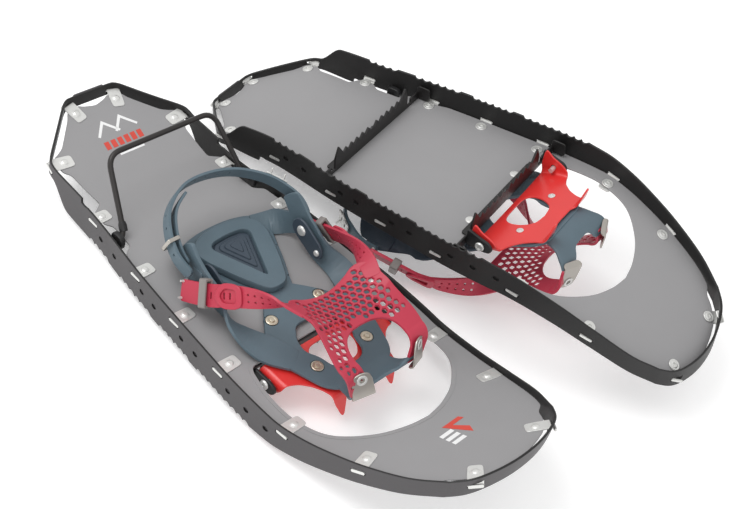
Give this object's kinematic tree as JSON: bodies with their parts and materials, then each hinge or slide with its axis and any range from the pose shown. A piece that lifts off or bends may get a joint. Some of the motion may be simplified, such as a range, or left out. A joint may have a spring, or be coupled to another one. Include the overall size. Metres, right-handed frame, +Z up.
{
  "type": "snowshoe pair",
  "caption": "Mountain snowshoes with toothed frame rails, a riveted deck, a pivoting crampon binding, mesh and heel straps and a heel-lift bail",
  "frame": {"origin": "middle of the pair's outer box, on the ground", "axes": "+Z up; +Y towards the noses of both shoes, along the longer side of the pair; +X to the right, from the upside-down shoe to the one that stands face up"},
  "size_m": [0.4366, 0.5734, 0.1274],
  "materials": {
    "blade": "dark anodised, satin",
    "bar": "black powder coat",
    "deck": "coated woven sheet, satin",
    "steel": "bright stainless",
    "bracket": "warm grey stainless, satin",
    "red_plate": "bright red powder coat",
    "red_strap": "satin moulded elastomer",
    "cradle": "satin moulded elastomer",
    "wire": "dark grey coated wire",
    "plastic": "black moulded"
  },
  "bodies": {
    "root": {"left_bail_socket_left": "plastic", "left_bail_socket_right": "plastic", "left_deck": "deck", "left_frame": "blade", "left_front_crossbar": "bar", "left_pivot_bracket_left": "plastic", "left_pivot_bracket_right": "plastic", "left_pivot_pin_left": "steel", "left_pivot_pin_right": "steel", "left_rear_crossbar": "bar", "left_tail_splice": "blade", "right_bail_socket_left": "plastic", "right_bail_socket_right": "plastic", "right_deck": "deck", "right_frame": "blade", "right_front_crossbar": "bar", "right_pivot_bracket_left": "plastic", "right_pivot_bracket_right": "plastic", "right_pivot_pin_left": "steel", "right_pivot_pin_right": "steel", "right_rear_crossbar": "bar", "right_tail_splice": "blade"},
    "left_binding": {"left_crampon": "red_plate", "left_cradle": "cradle", "left_heel_pad": "cradle", "left_mesh_strap": "red_strap", "left_cradle_rivet_left": "steel", "left_cradle_rivet_right": "steel", "left_toe_bracket_left": "bracket", "left_toe_bracket_right": "bracket", "left_side_strap_left": "red_strap", "left_side_strap_right": "red_strap", "left_strap_buckle_left": "plastic", "left_strap_buckle_right": "plastic"},
    "left_keeper_left": {"left_strap_keeper_left": "plastic"},
    "left_keeper_right": {"left_strap_keeper_right": "plastic"},
    "left_heel_loop": {"left_heel_strap": "cradle", "left_heel_buckle": "steel", "left_heel_keeper": "steel"},
    "left_bail": {"left_heel_bail": "wire"},
    "right_binding": {"right_crampon": "red_plate", "right_cradle": "cradle", "right_heel_pad": "cradle", "right_mesh_strap": "red_strap", "right_cradle_rivet_left": "steel", "right_cradle_rivet_right": "steel", "right_toe_bracket_left": "bracket", "right_toe_bracket_right": "bracket", "right_side_strap_left": "red_strap", "right_side_strap_right": "red_strap", "right_strap_buckle_left": "plastic", "right_strap_buckle_right": "plastic"},
    "right_keeper_left": {"right_strap_keeper_left": "plastic"},
    "right_keeper_right": {"right_strap_keeper_right": "plastic"},
    "right_heel_loop": {"right_heel_strap": "cradle", "right_heel_buckle": "steel", "right_heel_keeper": "steel"},
    "right_bail": {"right_heel_bail": "wire"}
  },
  "joints": [
    {"name": "left_binding_pivot", "type": "hinge", "parent": "root", "child": "left_binding", "pos_m": [0.11678, 0.05988, 0.02159], "axis": [-1, 0, 0], "range_deg": [0, 60]},
    {"name": "left_keeper_slide_left", "type": "slide", "parent": "left_binding", "child": "left_keeper_left", "axis": [-0.1637, -0.8418, -0.5144], "range_m": [-0.001, 0.008]},
    {"name": "left_keeper_slide_right", "type": "slide", "parent": "left_binding", "child": "left_keeper_right", "axis": [0.1637, -0.8418, -0.5144], "range_m": [-0.001, 0.008]},
    {"name": "left_heel_strap_swing", "type": "hinge", "parent": "left_binding", "child": "left_heel_loop", "pos_m": [0.11678, -0.05212, 0.05659], "axis": [-1, 0, 0], "range_deg": [-10, 90]},
    {"name": "left_bail_hinge", "type": "hinge", "parent": "root", "child": "left_bail", "pos_m": [0.11678, -0.13212, 0.03279], "axis": [-1, 0, 0], "range_deg": [-42, 40]},
    {"name": "right_binding_pivot", "type": "hinge", "parent": "root", "child": "right_binding", "pos_m": [-0.10646, 0.07047, 0.09204], "axis": [0.9777, 0.1902, -0.0885], "range_deg": [-6, 46]},
    {"name": "right_keeper_slide_left", "type": "slide", "parent": "right_binding", "child": "right_keeper_left", "axis": [0.3991, -0.908, 0.1273], "range_m": [-0.001, 0.008]},
    {"name": "right_keeper_slide_right", "type": "slide", "parent": "right_binding", "child": "right_keeper_right", "axis": [-0.0041, -0.9865, 0.1638], "range_m": [-0.001, 0.008]},
    {"name": "right_heel_strap_swing", "type": "hinge", "parent": "right_binding", "child": "right_heel_loop", "pos_m": [-0.09469, -0.02172, 0.02395], "axis": [0.9777, 0.1902, -0.0885], "range_deg": [0, 90]},
    {"name": "right_bail_hinge", "type": "hinge", "parent": "root", "child": "right_bail", "pos_m": [-0.07408, -0.11476, 0.05163], "axis": [0.9777, 0.1902, -0.0885], "range_deg": [0, 80]}
  ]
}
